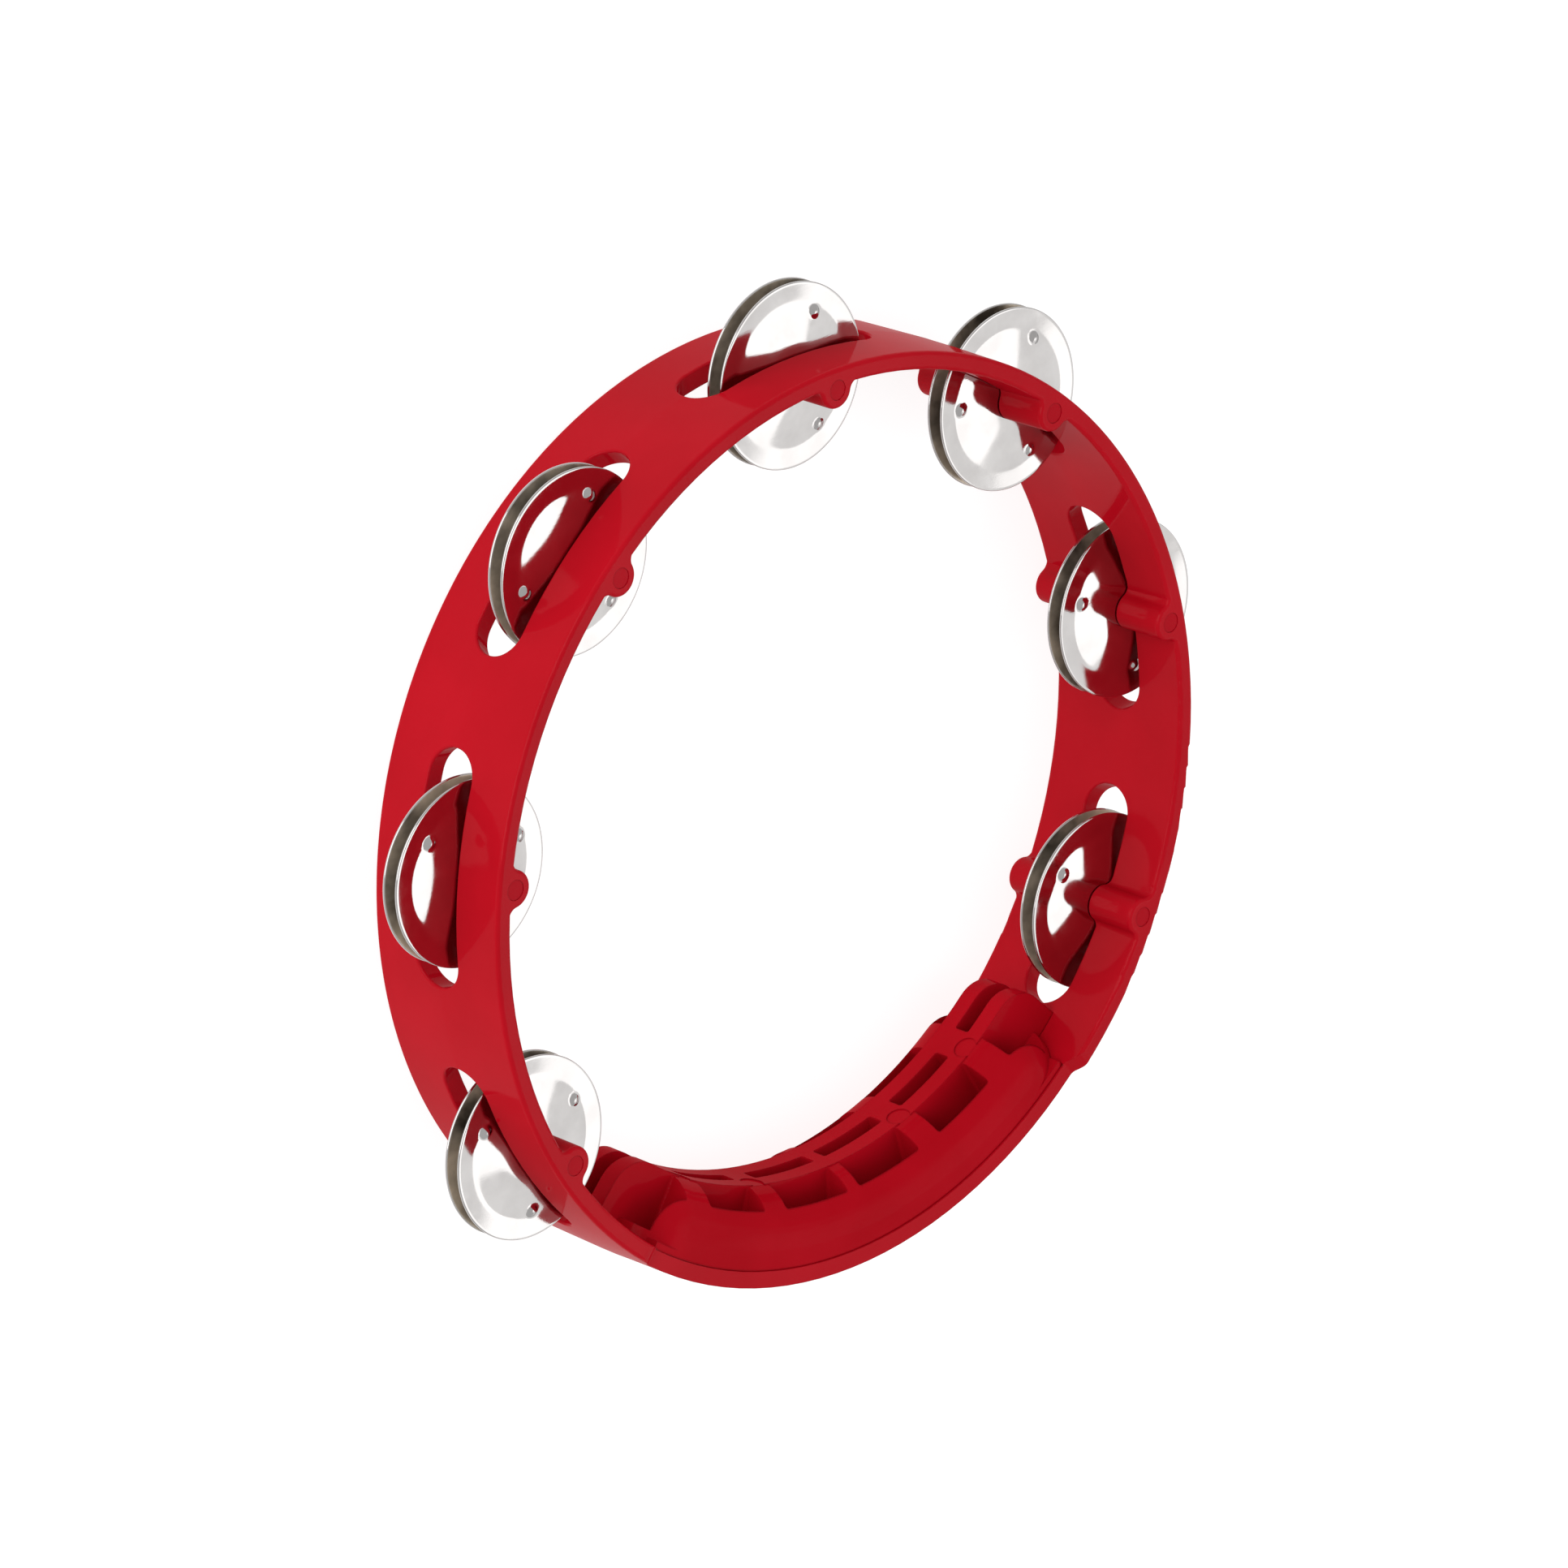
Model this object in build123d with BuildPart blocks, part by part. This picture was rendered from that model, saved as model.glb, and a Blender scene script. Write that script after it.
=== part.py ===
"""A one-row tambourine: a moulded ring with a pocketed hand grip and seven pairs of loose jingles on steel pins.

The ring lies on its lower rim in the XY plane. Its axis is +Z, its centre is the origin, and the hand grip is
centred on -Y.
"""

import os
from math import cos, hypot, radians, sin

from build123d import *

os.makedirs("parts", exist_ok=True)

# Ring frame. Its wall tapers from the parting line at mid height to both rims.
ring_radius = 101.6
ring_wall = 3.9
ring_depth = 37.4
draft_step = 0.35
rim_round = 0.9
mid_height = ring_depth / 2
inner_radius = ring_radius - ring_wall

# Jingle stations: seven slots, evenly spaced, with a pair of bosses above and below each slot.
station_count = 7
station_pitch = 40.0
first_station = -30.0
slot_length = 50.4
slot_height = 12.6
slot_round = 0.5
boss_radius = 4.1
boss_blend = 2.2
boss_foot_half_angle = 6.0
boss_foot_sink = 0.2
pin_circle = 97.0
station_angles = [first_station + station_pitch * index for index in range(station_count)]

# Steel pins, put in from the upper rim and closed with plugs.
pin_radius = 1.25
pin_clearance = 0.03
pin_floor = 3.0
plug_radius = 2.2
plug_height = 1.5
plug_recess = 0.15
plug_clearance = 0.02

# Jingles: stamped discs with a shallow dome, a nearly flat flange and three small dimples.
# The profile gives the height of the sheet's middle above the rim's middle at each radius, from hole to rim.
jingle_thickness = 0.6
jingle_rim_round = 0.27
jingle_profile = [(1.7, 1.2), (4.0, 1.14), (6.0, 0.95), (9.0, 0.5), (12.0, 0.06), (15.0, -0.1), (20.0, 0.0)]
dimple_count = 3
dimple_circle = 14.2
dimple_sheet_height = -0.08
dimple_radius = 1.5
dimple_latitude = 25.0
dimple_cap_latitude = 17.0
dimple_hollow_radius = 0.95
front_jingle_height = mid_height + 4.7
back_jingle_height = mid_height + 1.0
front_spins = [47.0, 30.0, 4.0, 89.0, 60.0, 86.0, 57.0]
back_spin_lag = 37.0

# Hand grip: the ring narrows to a strip there, and the insert sits in a shallow seat on its inside.
grip_centre = -90.0
strip_half_width = 15.8
strip_plain_half_angle = 30.0
strip_end = 39.5
strip_step_length = 20.0
strip_step_round = 5.0
strip_step_hollow = 2.0
seat_radius = 98.0
seat_half_angle = 38.5
seat_end_clearance = 0.1
insert_half_width = 15.4
insert_crest_radius = 81.8
insert_base_radius = 97.3
insert_base_overlap = 1.0
insert_clearance = 0.05
insert_half_angle = 40.8
insert_end_round = 12.4
insert_shoulder = 12.0
finger_half_angle = 44.4
finger_end_round = 8.0
pocket_floor_radius = 94.8
centre_pocket_half_width = 1.9
side_pocket_low = 6.0
side_pocket_high = 12.2
pocket_corner_round = 0.6
pocket_corner_reach = 54.0
pocket_spans = [(1.1, 13.4), (17.6, 29.0), (34.0, 54.0)]
ejector_mark_radius = 2.6
ejector_mark_depth = 0.25
ejector_mark_height = 4.0
ejector_mark_angles = [-31.5, -15.5, 15.5, 31.5]

# How far a cut starts outside the piece, and how near two lengths are when they count as equal.
cut_margin = 1.0
tolerance = 0.01


def sector(small_radius, large_radius, first_angle, last_angle, corner_round=0.0):
    """A flat ring sector, with its two inner corners rounded if asked."""
    span = last_angle - first_angle
    with BuildSketch() as outline:
        with BuildLine():
            inside = CenterArc((0, 0), small_radius, first_angle, span)
            outside = CenterArc((0, 0), large_radius, first_angle, span)
            Line(inside @ 0, outside @ 0)
            Line(inside @ 1, outside @ 1)
        make_face()
        if corner_round:
            inner_corners = outline.vertices().sort_by(lambda corner: hypot(corner.X, corner.Y))[:2]
            fillet(inner_corners, corner_round)
    return outline.sketch


def tangent_plane(angle, radius, height):
    """A plane that faces outwards at an angle round the ring, with +Z up."""
    outwards = (cos(radians(angle)), sin(radians(angle)), 0)
    along = (-sin(radians(angle)), cos(radians(angle)), 0)
    centre = (radius * outwards[0], radius * outwards[1], height)
    return Plane(origin=centre, x_dir=along, z_dir=outwards)


def is_slot_mouth(edge):
    """True for an edge that runs round a slot on the ring's inner or outer surface."""
    through_wall = abs(hypot((edge @ 0).X, (edge @ 0).Y) - hypot((edge @ 1).X, (edge @ 1).Y)) > slot_round
    return not through_wall and abs(edge.center().Z - mid_height) < slot_height / 2 + tolerance


def is_blend_corner(corner):
    """True for a corner where a boss meets the surface that it stands on, in the boss's own frame."""
    on_wall = abs(hypot(corner.X, corner.Y) - blend_radius) < tolerance
    return on_wall and abs(corner.Y) < 2 * boss_radius


def is_pocket_corner(edge):
    """True for a straight, level edge that runs from a pocket's mouth to its floor, short of the insert's ends."""
    middle = edge.center()
    level = abs((edge % 0.5).Z) < tolerance
    above_floor = hypot(middle.X, middle.Y) < pocket_floor_radius
    return edge.geom_type == GeomType.LINE and level and above_floor and abs(middle.X) < pocket_corner_reach


def save(part, name):
    """Labels a finished piece and writes it."""
    part.label = name
    export_step(part, f"parts/{name}.step")


# Ring frame
with BuildPart() as ring_frame:
    with BuildSketch(Plane.XZ) as wall_section:
        with BuildLine():
            Polyline(
                (inner_radius, 0),
                (ring_radius, 0),
                (ring_radius + draft_step, mid_height),
                (ring_radius, ring_depth),
                (inner_radius, ring_depth),
                (inner_radius - draft_step, mid_height),
                close=True,
            )
        make_face()
    revolve(axis=Axis.Z)

    # The slots are cut straight outwards, with full round ends.
    for angle in station_angles:
        with BuildSketch(tangent_plane(angle, pin_circle - ring_wall, mid_height)):
            SlotOverall(slot_length, slot_height)
        extrude(amount=4 * ring_wall, mode=Mode.SUBTRACT)
    fillet(ring_frame.edges().filter_by(is_slot_mouth), slot_round)

    # A boss above and below each slot, blended into the wall.
    boss_height = mid_height - slot_height / 2
    blend_radius = inner_radius + boss_foot_sink
    foot_radius = inner_radius + ring_wall / 2
    for angle in station_angles:
        for base in (0, ring_depth - boss_height):
            with BuildSketch(Plane.XY.offset(base).rotated((0, 0, angle))) as boss_section:
                add(sector(blend_radius, foot_radius, -boss_foot_half_angle, boss_foot_half_angle))
                with Locations((pin_circle, 0)):
                    Circle(boss_radius)
                fillet(boss_section.vertices().filter_by(is_blend_corner), boss_blend)
            extrude(amount=boss_height)

    # Both rims are rounded, bosses included.
    for rim_height in (0, ring_depth):
        fillet(ring_frame.edges().filter_by_position(Axis.Z, rim_height, rim_height), rim_round)

    # The ring narrows to a strip behind the hand grip, with a rounded step at each end, on both rims.
    step = mid_height - strip_half_width
    step_reach = 2 * step
    plain_start = grip_centre - strip_plain_half_angle
    plain_end = grip_centre + strip_plain_half_angle
    for side in (-1, 1):
        with BuildSketch(Plane.XY.offset(mid_height + side * strip_half_width)):
            add(sector(inner_radius - ring_wall, ring_radius + ring_wall, plain_start, plain_end))
        extrude(amount=side * 2 * step, mode=Mode.SUBTRACT)
        for hand in (-1, 1):
            with BuildSketch(tangent_plane(grip_centre + hand * strip_end, inner_radius - ring_wall, mid_height)):
                with BuildLine():
                    edge_line = FilletPolyline(
                        (hand * step_reach, side * mid_height),
                        (hand * step / 2, side * mid_height),
                        (-hand * step / 2, side * strip_half_width),
                        (-hand * strip_step_length, side * strip_half_width),
                        radius=[strip_step_round, strip_step_hollow],
                    )
                    Polyline(
                        edge_line @ 1,
                        (-hand * strip_step_length, side * (mid_height + step)),
                        (hand * step_reach, side * (mid_height + step)),
                        edge_line @ 0,
                    )
                make_face()
            extrude(amount=4 * ring_wall, mode=Mode.SUBTRACT)

    # The hand grip's seat.
    with BuildSketch(Plane.XY.offset(mid_height - strip_half_width)):
        add(sector(inner_radius - ring_wall, seat_radius, grip_centre - seat_half_angle, grip_centre + seat_half_angle))
    extrude(amount=2 * strip_half_width, mode=Mode.SUBTRACT)

    # A blind pin hole at each station, from the upper rim through the slot into the lower boss.
    with Locations(Plane.XY.offset(ring_depth)):
        with PolarLocations(pin_circle, station_count, first_station, (station_count - 1) * station_pitch, endpoint=True):
            CounterBoreHole(pin_radius + pin_clearance, plug_radius, plug_height, ring_depth - pin_floor)

save(ring_frame.part, "ring_frame")

# Hand grip insert
with BuildPart() as grip_insert:
    block_start = grip_centre - insert_half_angle
    block_end = grip_centre + insert_half_angle
    with BuildSketch(Plane.XY.offset(mid_height - insert_half_width)):
        add(sector(insert_crest_radius, insert_base_radius, block_start, block_end, insert_end_round))
    extrude(amount=2 * insert_half_width)
    for side_face in (grip_insert.faces().sort_by(Axis.Z)[0], grip_insert.faces().sort_by(Axis.Z)[-1]):
        side_edges = side_face.edges().sort_by(Edge.length)[:-1]
        fillet(side_edges, insert_shoulder)

    # The two middle ribs reach further along the ring than the outer walls.
    finger_start = grip_centre - finger_half_angle
    finger_end = grip_centre + finger_half_angle
    with BuildSketch(Plane.XY.offset(mid_height - side_pocket_low)):
        add(sector(insert_crest_radius, insert_base_radius, finger_start, finger_end, finger_end_round))
    extrude(amount=2 * side_pocket_low)

    # The base that fills the seat.
    base_start = grip_centre - seat_half_angle + seat_end_clearance
    base_end = grip_centre + seat_half_angle - seat_end_clearance
    with BuildSketch(Plane.XY.offset(mid_height - insert_half_width)):
        add(sector(insert_base_radius - insert_base_overlap, seat_radius - insert_clearance, base_start, base_end))
    extrude(amount=2 * insert_half_width)

    # Three columns of pockets between four ribs, with open grooves at both ends.
    columns = [
        (-side_pocket_high, -side_pocket_low),
        (-centre_pocket_half_width, centre_pocket_half_width),
        (side_pocket_low, side_pocket_high),
    ]
    for low, high in columns:
        for first, last in pocket_spans:
            for start, end in ((grip_centre + first, grip_centre + last), (grip_centre - last, grip_centre - first)):
                with BuildSketch(Plane.XY.offset(mid_height + low)):
                    add(sector(insert_crest_radius - cut_margin, pocket_floor_radius, start, end))
                extrude(amount=high - low, mode=Mode.SUBTRACT)
    fillet(grip_insert.edges().filter_by(is_pocket_corner), pocket_corner_round)

    # Round marks left by the ejector pins on the cross ribs.
    for angle in ejector_mark_angles:
        with BuildSketch(tangent_plane(grip_centre + angle, insert_crest_radius - cut_margin, mid_height)):
            with Locations((0, ejector_mark_height)):
                Circle(ejector_mark_radius)
        extrude(amount=cut_margin + ejector_mark_depth, mode=Mode.SUBTRACT)

save(grip_insert.part, "grip_insert")

# Pins and the plugs that close their holes
plug_base = ring_depth - plug_height
for number, angle in enumerate(station_angles, 1):
    with BuildPart() as jingle_pin:
        with BuildSketch(Plane.XY.offset(pin_floor).rotated((0, 0, angle))):
            with Locations((pin_circle, 0)):
                Circle(pin_radius)
        extrude(amount=plug_base - pin_floor)
    save(jingle_pin.part, f"jingle_pin_{number}")

    with BuildPart() as pin_plug:
        with BuildSketch(Plane.XY.offset(plug_base).rotated((0, 0, angle))):
            with Locations((pin_circle, 0)):
                Circle(plug_radius - plug_clearance)
        extrude(amount=plug_height - plug_recess)
    save(pin_plug.part, f"pin_plug_{number}")

# One jingle, made about its own axis with its domed side up
with BuildPart() as jingle:
    half_thickness = jingle_thickness / 2
    with BuildSketch(Plane.XZ) as disc_section:
        with BuildLine():
            under = Spline([(radius, height - half_thickness) for radius, height in jingle_profile])
            upper = Spline([(radius, height + half_thickness) for radius, height in jingle_profile])
            Line(under @ 0, upper @ 0)
            Line(under @ 1, upper @ 1)
        make_face()
        fillet(disc_section.vertices().group_by(Axis.X)[-1], jingle_rim_round)
    revolve(axis=Axis.Z)

    # The dimples are pressed up from below.
    cap_base = dimple_radius * sin(radians(dimple_latitude))
    with Locations(Plane.XY.offset(dimple_sheet_height + half_thickness - cap_base)):
        with PolarLocations(dimple_circle, dimple_count):
            Sphere(dimple_radius, arc_size1=dimple_cap_latitude, align=None)
            Sphere(dimple_hollow_radius, mode=Mode.SUBTRACT)

# Seven facing pairs, each disc turned about its pin as it happens to lie
for number, (angle, spin) in enumerate(zip(station_angles, front_spins), 1):
    station = Plane.XY.rotated((0, 0, angle)) * Location((pin_circle, 0, 0))
    front = Location(station) * Location((0, 0, front_jingle_height), (0, 0, spin)) * jingle.part
    back = Location(station) * Location((0, 0, back_jingle_height), (180, 0, spin + back_spin_lag)) * jingle.part
    save(front, f"jingle_{number}_front")
    save(back, f"jingle_{number}_back")
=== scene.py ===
import math

import bpy
from mathutils import Matrix, Vector, noise


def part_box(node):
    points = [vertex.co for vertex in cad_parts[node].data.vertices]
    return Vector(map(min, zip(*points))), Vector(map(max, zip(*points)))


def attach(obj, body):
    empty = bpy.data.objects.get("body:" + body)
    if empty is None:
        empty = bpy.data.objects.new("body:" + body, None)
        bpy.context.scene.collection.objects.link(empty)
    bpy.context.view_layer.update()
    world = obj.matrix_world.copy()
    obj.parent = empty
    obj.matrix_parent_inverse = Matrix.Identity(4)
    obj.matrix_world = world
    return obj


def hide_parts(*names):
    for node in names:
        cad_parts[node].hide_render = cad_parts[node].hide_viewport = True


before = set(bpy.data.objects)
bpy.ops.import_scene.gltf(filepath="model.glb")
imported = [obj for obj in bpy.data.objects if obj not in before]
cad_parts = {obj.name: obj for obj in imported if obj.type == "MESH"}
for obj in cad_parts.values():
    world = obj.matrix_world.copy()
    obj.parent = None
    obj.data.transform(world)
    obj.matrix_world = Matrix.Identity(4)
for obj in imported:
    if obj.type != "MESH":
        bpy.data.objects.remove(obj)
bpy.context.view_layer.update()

MM = 0.001

# Camera: where it stands round the ring, how far it is turned about its own line of sight, and its lens.
CAMERA_AZIMUTH = -121.17
CAMERA_ELEVATION = 42.73
CAMERA_ROLL = 109.48
CAMERA_DISTANCE = 1.7695
CAMERA_LENS = 192.64
CAMERA_SENSOR = 36.0
CAMERA_AIM = Vector((-0.00056, 0.00410, 0.01588))

# Studio: each soft light has a direction from the ring's centre, a width, a height and a brightness.
FLOOR_SIZE = 9.0
FLOOR_GAP = 0.0002
FLOOR_GLOW = 0.85
WORLD_LIGHT = 0.66
LIGHT_DISTANCE = 2.2
SOFTBOXES = {
    "key_light": ((-0.85, 0.45, 0.35), 2.2, 1.6, 2.3),
    "far_light": ((0.628, -0.380, 0.679), 2.4, 2.4, 0.55),
    "top_light": ((0.45, -0.22, 0.865), 1.3, 1.3, 0.8),
}

# Plastics: two tones, the range of roughness, the grain's strength, the edges' radius in metres, the gloss
PLASTICS = {
    "ring_red": ((0.405, 0.0028, 0.0095), (0.440, 0.0036, 0.0115), (0.18, 0.26), 0.05, 0.0003, 0.22),
    "grip_red": ((0.375, 0.0025, 0.0085), (0.410, 0.0033, 0.0105), (0.30, 0.42), 0.16, 0.0007, 0.08),
    "plug_red": ((0.375, 0.0028, 0.0095), (0.410, 0.0036, 0.0115), (0.24, 0.34), 0.10, 0.0002, 0.15),
}
PLASTIC_SHEEN = 0.0
GLOSS_ROUGHNESS = 0.09
GLOSS_IOR = 1.35
EDGE_SAMPLES = 6

# The values that noise mostly stays between, and where a blend of two tones starts and ends
NOISE_LOW = 0.3
NOISE_HIGH = 0.7
BLEND_START = 0.35
BLEND_END = 0.65

# Metals and paper: the darker and the lighter tone of each
NICKEL_TONES = ((0.495, 0.478, 0.470), (0.550, 0.533, 0.525))
# The inner faces' dark and taupe tones are a painted reflection, standing in for what shows in the gap
# between a pair of discs.
PAINTED_GAP_REFLECTION_TONES = ((0.07, 0.055, 0.04), (0.62, 0.53, 0.42))
INSIDE_METALLIC = 0.5
STEEL_TONES = ((0.56, 0.56, 0.57), (0.68, 0.68, 0.69))
PAPER_TONES = ((0.30, 0.30, 0.30), (0.32, 0.32, 0.32))

# Jingle, in millimetres about its own pin, with its domed side up
JINGLE_RADIUS = 20.0
JINGLE_THICKNESS = 0.6
JINGLE_TOP = 1.5
HOLE_RADIUS = 1.7
CROWN_RADIUS = 6.5
CROWN_SOFTNESS = 0.8
CONE_SLOPE = 0.15
FLANGE_RADIUS = 15.4
FLANGE_SOFTNESS = 0.3
FLANGE_SLOPE = 0.055
DIMPLE_COUNT = 3
DIMPLE_CIRCLE = 14.2
DIMPLE_RADIUS = 1.6
DIMPLE_HEIGHT = 0.75
DIMPLE_STEEPNESS = 1.5
HOLE_LIP = 0.18
FINE_STEP = 0.3
COARSE_STEP = 0.75
RIM_STEPS = 5
HOLE_STEPS = 3
INNER_FACE = "inner_face"
WAVE_HEIGHT = 0.022
WAVE_LENGTH = 9.0
WAVE_SPACING = 40.0
JINGLE_SEGMENTS = 192
FRONT_SPINS = [47.0, 30.0, 4.0, 89.0, 60.0, 86.0, 57.0]
BACK_SPIN_LAG = 37.0

STATION_COUNT = 7
FIRST_STATION = -30.0
STATION_PITCH = 40.0
PIN_CIRCLE = 97.0


# Materials


class Nodes:
    """Short calls for building one material's node tree."""

    def __init__(self, name):
        self.material = bpy.data.materials.new(name)
        self.material.use_nodes = True
        self.tree = self.material.node_tree
        self.shader = self.tree.nodes["Principled BSDF"]
        self.place = self.add("ShaderNodeTexCoord").outputs["Object"]

    def add(self, kind, **settings):
        node = self.tree.nodes.new(kind)
        for key, value in settings.items():
            setattr(node, key, value)
        return node

    def link(self, source, target):
        self.tree.links.new(source, target)

    def set(self, socket, value):
        """Gives the shader a value that is the same all over."""
        self.shader.inputs[socket].default_value = value

    def drive(self, socket, source):
        """Feeds one of the shader's sockets."""
        self.link(source, self.shader.inputs[socket])

    def noise(self, scale, detail=4.0, roughness=0.55, stretch=None):
        """Noise with so many features for each metre. Stretch squeezes it along the axes."""
        texture = self.add("ShaderNodeTexNoise")
        texture.inputs["Scale"].default_value = scale
        texture.inputs["Detail"].default_value = detail
        texture.inputs["Roughness"].default_value = roughness
        if stretch:
            mapping = self.add("ShaderNodeMapping")
            mapping.inputs["Scale"].default_value = stretch
            self.link(self.place, mapping.inputs["Vector"])
            self.link(mapping.outputs["Vector"], texture.inputs["Vector"])
        else:
            self.link(self.place, texture.inputs["Vector"])
        return texture.outputs["Fac"]

    def spread(self, value, low, high, from_low=NOISE_LOW, from_high=NOISE_HIGH):
        """Maps a value to a range."""
        node = self.add("ShaderNodeMapRange")
        node.inputs["From Min"].default_value = from_low
        node.inputs["From Max"].default_value = from_high
        node.inputs["To Min"].default_value = low
        node.inputs["To Max"].default_value = high
        self.link(value, node.inputs["Value"])
        return node.outputs["Result"]

    def blend(self, value, first, second):
        """A colour between two, by a noise value."""
        ramp = self.add("ShaderNodeValToRGB")
        low, high = ramp.color_ramp.elements
        low.position = BLEND_START
        low.color = (*first, 1.0)
        high.position = BLEND_END
        high.color = (*second, 1.0)
        self.link(value, ramp.inputs["Fac"])
        return ramp.outputs["Color"]

    def mix(self, share, first, second):
        """First where the share is 0, second where it is 1, for colours and plain values alike."""
        node = self.add("ShaderNodeMix", data_type="RGBA")
        self.link(share, node.inputs["Factor"])
        self.link(first, next(socket for socket in node.inputs if socket.identifier == "A_Color"))
        self.link(second, next(socket for socket in node.inputs if socket.identifier == "B_Color"))
        return next(socket for socket in node.outputs if socket.identifier == "Result_Color")

    def bump(self, height, distance, strength, below=None):
        node = self.add("ShaderNodeBump")
        node.inputs["Distance"].default_value = distance
        node.inputs["Strength"].default_value = strength
        self.link(height, node.inputs["Height"])
        if below is not None:
            self.link(below, node.inputs["Normal"])
        return node.outputs["Normal"]


def moulded_plastic(name):
    """Moulded ABS: near-even colour, faint flow marks, softened edges, a slow waviness and a fine grain."""
    first, second, roughness, grain, edge, gloss = PLASTICS[name]
    made = Nodes(name)
    made.set("Specular IOR Level", PLASTIC_SHEEN)
    made.set("Coat Weight", gloss)
    made.set("Coat Roughness", GLOSS_ROUGHNESS)
    made.set("Coat IOR", GLOSS_IOR)
    made.drive("Base Color", made.blend(made.noise(scale=45.0, detail=3.0), first, second))
    made.drive("Roughness", made.spread(made.noise(scale=320.0, detail=5.0), *roughness))
    soft_edges = made.add("ShaderNodeBevel", samples=EDGE_SAMPLES)
    soft_edges.inputs["Radius"].default_value = edge
    waves = made.noise(scale=60.0, detail=2.0)
    slow = made.bump(waves, distance=0.0006, strength=0.12, below=soft_edges.outputs["Normal"])
    grains = made.noise(scale=2600.0, detail=3.0)
    made.drive("Normal", made.bump(grains, distance=0.00006, strength=grain, below=slow))
    return made.material


def nickel_plate(name):
    """Bright nickel on stamped steel, with haze, scratches and specks, and a duller inner face whose dark
    and taupe mottle is a painted reflection of the gap between the discs.
    """
    made = Nodes(name)
    inside = made.add("ShaderNodeAttribute", attribute_name=INNER_FACE).outputs["Fac"]
    bright = made.blend(made.noise(scale=120.0), *NICKEL_TONES)
    # Inner faces: a dark and taupe mottle, a painted reflection of the gap between a pair of discs.
    painted_gap_reflection = made.blend(made.noise(scale=70.0), *PAINTED_GAP_REFLECTION_TONES)
    haze = made.spread(made.noise(scale=240.0, detail=6.0), 0.04, 0.10)
    dull_haze = made.spread(made.noise(scale=500.0), 0.3, 0.42)
    made.drive("Base Color", made.mix(inside, bright, painted_gap_reflection))
    made.drive("Metallic", made.spread(inside, 1.0, INSIDE_METALLIC, from_low=0.0, from_high=1.0))
    made.drive("Roughness", made.mix(inside, haze, dull_haze))
    scratches = made.noise(scale=1.0, detail=2.0, roughness=0.5, stretch=(260.0, 5200.0, 260.0))
    scratched = made.bump(scratches, distance=0.00001, strength=0.25)
    specks = made.noise(scale=3800.0, detail=2.0)
    made.drive("Normal", made.bump(specks, distance=0.000008, strength=0.3, below=scratched))
    return made.material


def drawn_steel(name):
    """Drawn wire: fine lines along the pin."""
    made = Nodes(name)
    made.set("Metallic", 1.0)
    lines = made.noise(scale=1.0, detail=3.0, roughness=0.6, stretch=(9000.0, 9000.0, 120.0))
    made.drive("Base Color", made.blend(lines, *STEEL_TONES))
    made.drive("Roughness", made.spread(lines, 0.22, 0.38))
    made.drive("Normal", made.bump(lines, distance=0.00002, strength=0.3))
    return made.material


def floor_paper(name):
    """White studio paper with a faint tooth, lit a little from behind."""
    made = Nodes(name)
    made.set("Roughness", 0.9)
    made.set("Specular IOR Level", 0.05)
    made.set("Emission Color", (1.0, 1.0, 1.0, 1.0))
    made.set("Emission Strength", FLOOR_GLOW)
    made.drive("Base Color", made.blend(made.noise(scale=8.0), *PAPER_TONES))
    made.drive("Normal", made.bump(made.noise(scale=900.0), distance=0.0002, strength=0.05))
    return made.material


ring_red = moulded_plastic("ring_red")
grip_red = moulded_plastic("grip_red")
plug_red = moulded_plastic("plug_red")
nickel = nickel_plate("nickel")
steel = drawn_steel("steel")


def paint(node, material):
    """Gives a CAD node's own slots one material."""
    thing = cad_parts[node]
    if not thing.material_slots:
        thing.data.materials.append(material)
    for place in thing.material_slots:
        place.material = material


# Jingles


def bend(radius, start, softness):
    """How far a radius is past the start of a slope, with a soft start."""
    return softness * math.log1p(math.exp((radius - start) / softness))


def disc_fall(radius):
    """How far the sheet is below its flat crown: down a shallow cone, then up a little along the flange."""
    cone = CONE_SLOPE * bend(radius, CROWN_RADIUS, CROWN_SOFTNESS)
    flange = (CONE_SLOPE + FLANGE_SLOPE) * bend(radius, FLANGE_RADIUS, FLANGE_SOFTNESS)
    return cone - flange


def disc_height(radius):
    """Height of the sheet's middle above the rim's."""
    return disc_fall(JINGLE_RADIUS) - disc_fall(radius)


def dimple_height(radius, angle):
    """How far the dimples raise the sheet at a point."""
    raised = 0.0
    for index in range(DIMPLE_COUNT):
        turn = angle - math.tau * index / DIMPLE_COUNT
        away = math.sqrt(radius**2 + DIMPLE_CIRCLE**2 - 2.0 * radius * DIMPLE_CIRCLE * math.cos(turn))
        if away < DIMPLE_RADIUS:
            raised += DIMPLE_HEIGHT * (1.0 - (away / DIMPLE_RADIUS) ** 2) ** DIMPLE_STEEPNESS
    return raised


def disc_section():
    """The disc's section as (radius, offset from the sheet's middle), round from the hole's top edge."""
    half = JINGLE_THICKNESS / 2
    radii = [HOLE_RADIUS + HOLE_LIP]
    while radii[-1] < JINGLE_RADIUS - 2.0 * half:
        near_dimple = abs(radii[-1] - DIMPLE_CIRCLE) < DIMPLE_RADIUS + FINE_STEP
        radii.append(radii[-1] + (FINE_STEP if near_dimple else COARSE_STEP))
    radii[-1] = JINGLE_RADIUS - half
    top = [(radius, half) for radius in radii]
    rim = [(radii[-1] + half * math.sin(turn), half * math.cos(turn)) for turn in turns(RIM_STEPS)]
    under = [(radius, -half) for radius in reversed(radii)]
    hole = [(radii[0] - HOLE_LIP * math.sin(turn), -half * math.cos(turn)) for turn in turns(HOLE_STEPS)]
    return top + rim + under + hole


def turns(count):
    """Angles from nearly nothing to nearly half a turn, evenly spaced."""
    return [math.pi * (index + 1) / (count + 1) for index in range(count)]


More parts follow.
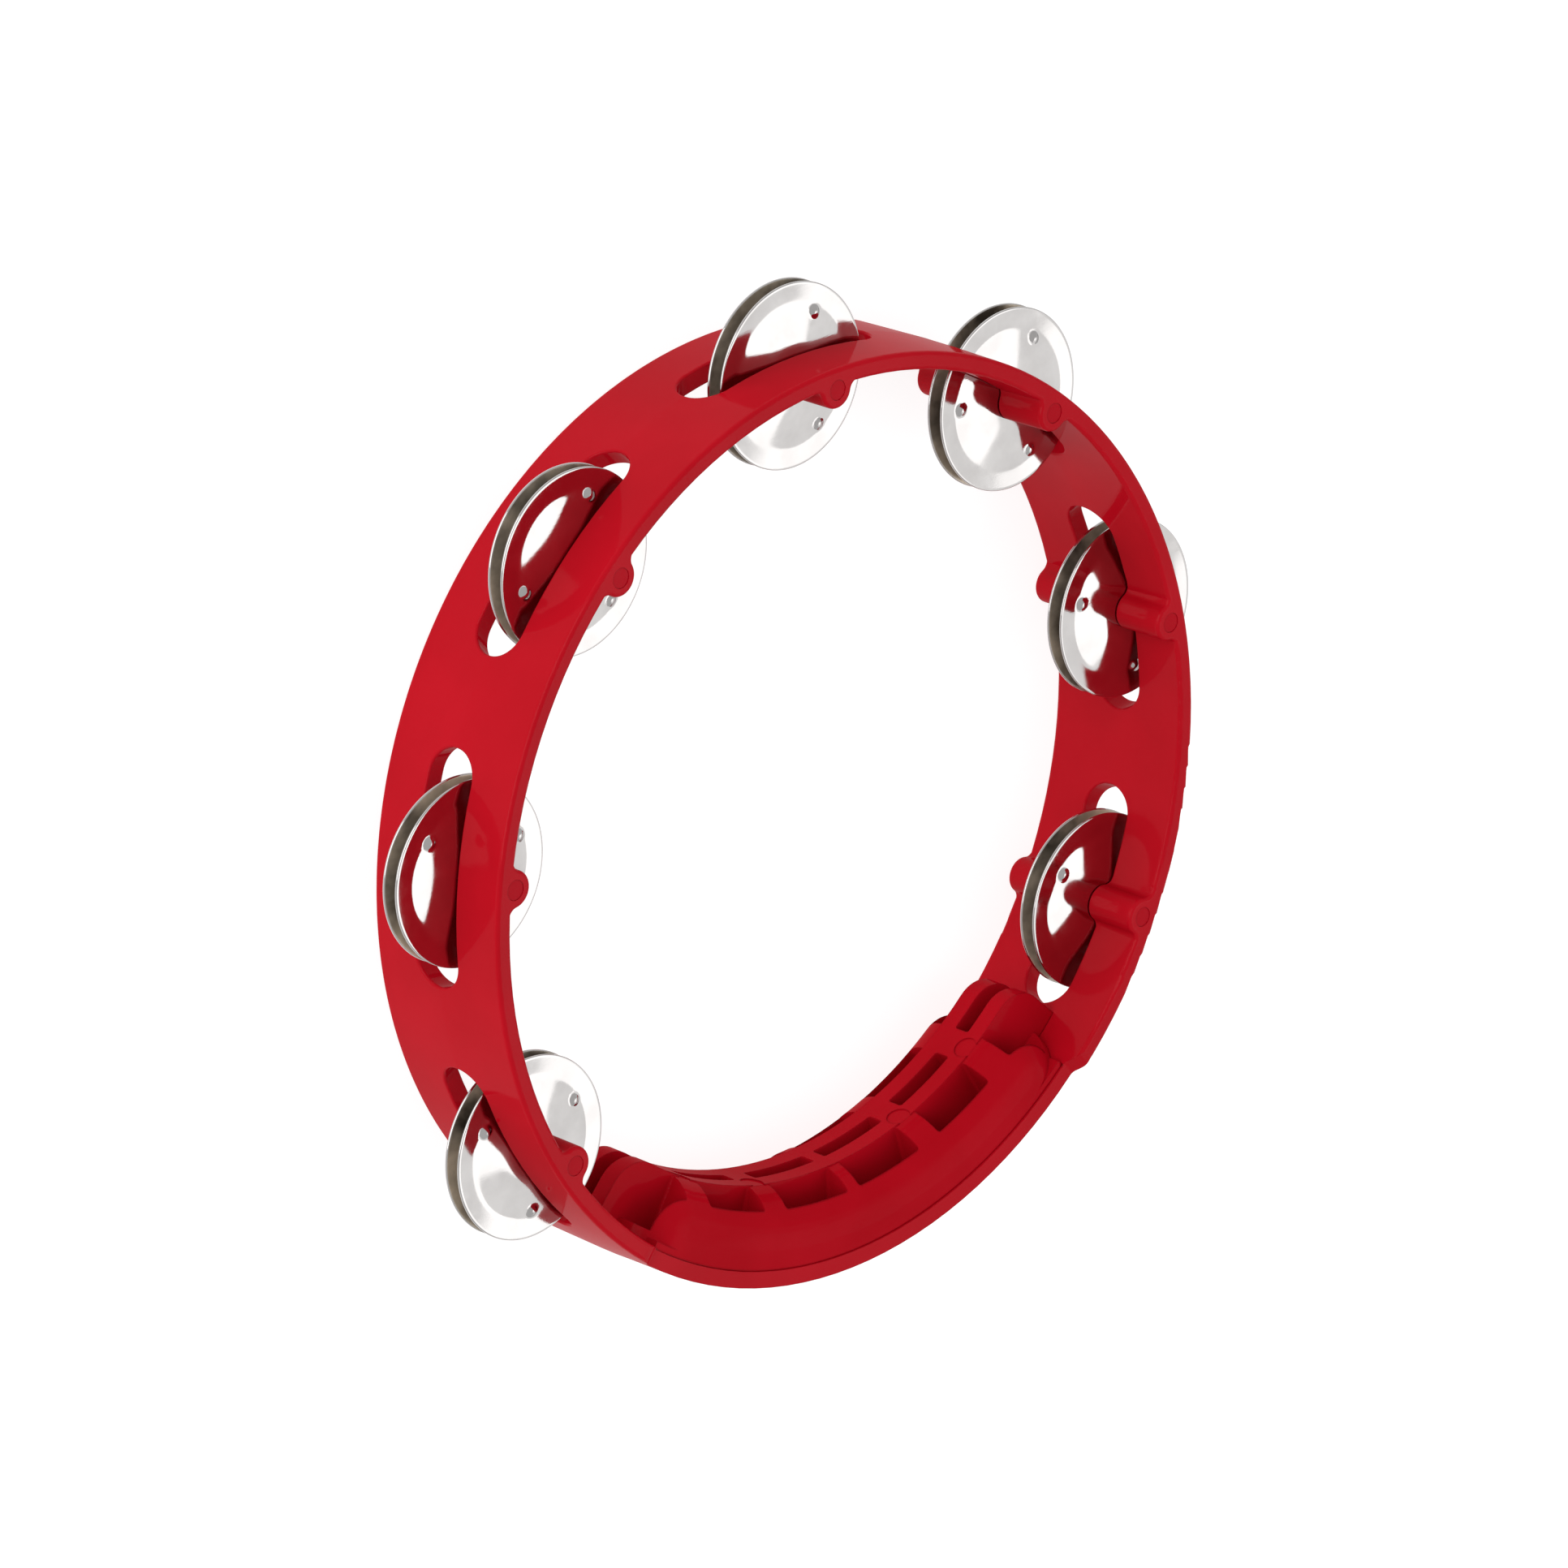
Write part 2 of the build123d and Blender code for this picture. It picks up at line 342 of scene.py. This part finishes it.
def jingle_mesh(name, seed, place):
    """One stamped disc, a little uneven as such discs are, made where it lies in the frame."""
    section = disc_section()
    points = []
    for segment in range(JINGLE_SEGMENTS):
        angle = math.tau * segment / JINGLE_SEGMENTS
        for radius, offset in section:
            across = Vector((radius * math.cos(angle), radius * math.sin(angle), seed * WAVE_SPACING))
            wave = WAVE_HEIGHT * noise.noise(across / WAVE_LENGTH)
            height = disc_height(radius) + dimple_height(radius, angle) + wave + offset
            points.append(place @ (Vector((across.x, across.y, height)) * MM))
    rows = len(section)
    faces = []
    for segment in range(JINGLE_SEGMENTS):
        here = segment * rows
        there = (segment + 1) % JINGLE_SEGMENTS * rows
        for row in range(rows):
            up = (row + 1) % rows
            faces.append((here + row, here + up, there + up, there + row))
    mesh = bpy.data.meshes.new(name)
    mesh.from_pydata(points, [], faces)
    mesh.shade_smooth()
    inside = [float(offset <= -JINGLE_THICKNESS / 2) for radius, offset in section]
    mesh.attributes.new(INNER_FACE, "FLOAT", "POINT").data.foreach_set("value", inside * JINGLE_SEGMENTS)
    return mesh


def place_jingle(number, side, angle, spin):
    """Puts a disc where its CAD node is: the front one dome up, and the back one dome down."""
    node = f"jingle_{number}_{side}"
    front = side == "front"
    low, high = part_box(node)
    height = high.z - JINGLE_TOP * MM if front else low.z + JINGLE_TOP * MM
    to_pin = Matrix.Translation((PIN_CIRCLE * MM, 0.0, height))
    round_ring = Matrix.Rotation(math.radians(angle), 4, "Z")
    flip = Matrix.Rotation(0.0 if front else math.pi, 4, "X")
    turn = Matrix.Rotation(math.radians(spin), 4, "Z")
    seed = number if front else number + STATION_COUNT
    mesh = jingle_mesh(f"{node}_disc", seed, round_ring @ to_pin @ flip @ turn)
    disc = bpy.data.objects.new(f"{node}_disc", mesh)
    disc.data.materials.append(nickel)
    bpy.context.collection.objects.link(disc)
    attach(disc, node)
    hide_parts(node)


for index in range(STATION_COUNT):
    number = index + 1
    angle = FIRST_STATION + STATION_PITCH * index
    place_jingle(number, "front", angle, FRONT_SPINS[index])
    place_jingle(number, "back", angle, FRONT_SPINS[index] + BACK_SPIN_LAG)
    paint(f"jingle_pin_{number}", steel)
    paint(f"pin_plug_{number}", plug_red)
paint("ring_frame", ring_red)
paint("grip_insert", grip_red)


# Studio


def add_floor():
    half = FLOOR_SIZE / 2
    corners = [(x * half, y * half, -FLOOR_GAP) for x, y in ((-1, -1), (1, -1), (1, 1), (-1, 1))]
    mesh = bpy.data.meshes.new("floor")
    mesh.from_pydata(corners, [], [(0, 1, 2, 3)])
    floor = bpy.data.objects.new("floor", mesh)
    mesh.materials.append(floor_paper("floor_paper"))
    bpy.context.collection.objects.link(floor)


def add_softbox(name, direction, width, height, radiance):
    """A soft light that faces the ring. Its power follows from how bright its face is."""
    light = bpy.data.lights.new(name, "AREA")
    light.shape = "RECTANGLE"
    light.size = width
    light.size_y = height
    light.energy = radiance * math.pi * width * height
    lamp = bpy.data.objects.new(name, light)
    lamp.location = Vector(direction).normalized() * LIGHT_DISTANCE
    lamp.rotation_euler = (-lamp.location).to_track_quat("-Z", "Y").to_euler()
    bpy.context.collection.objects.link(lamp)


def add_camera():
    azimuth, elevation, roll = (math.radians(a) for a in (CAMERA_AZIMUTH, CAMERA_ELEVATION, CAMERA_ROLL))
    level = math.cos(elevation)
    back = Vector((math.sin(azimuth) * level, -math.cos(azimuth) * level, math.sin(elevation)))
    flat_right = Vector((math.cos(azimuth), math.sin(azimuth), 0.0))
    flat_up = back.cross(flat_right)
    right = flat_right * math.cos(roll) + flat_up * math.sin(roll)
    up = back.cross(right)
    data = bpy.data.cameras.new("camera")
    data.lens = CAMERA_LENS
    data.sensor_width = CAMERA_SENSOR
    camera = bpy.data.objects.new("camera", data)
    turned = Matrix((right, up, back)).transposed().to_4x4()
    camera.matrix_world = Matrix.Translation(CAMERA_AIM + back * CAMERA_DISTANCE) @ turned
    bpy.context.collection.objects.link(camera)
    bpy.context.scene.camera = camera


add_camera()
add_floor()
for light_name, (direction, width, height, radiance) in SOFTBOXES.items():
    add_softbox(light_name, direction, width, height, radiance)

world = bpy.data.worlds.new("studio")
world.use_nodes = True
world.node_tree.nodes["Background"].inputs["Color"].default_value = (1.0, 1.0, 1.0, 1.0)
world.node_tree.nodes["Background"].inputs["Strength"].default_value = WORLD_LIGHT
bpy.context.scene.world = world
bpy.context.scene.view_settings.view_transform = "Standard"
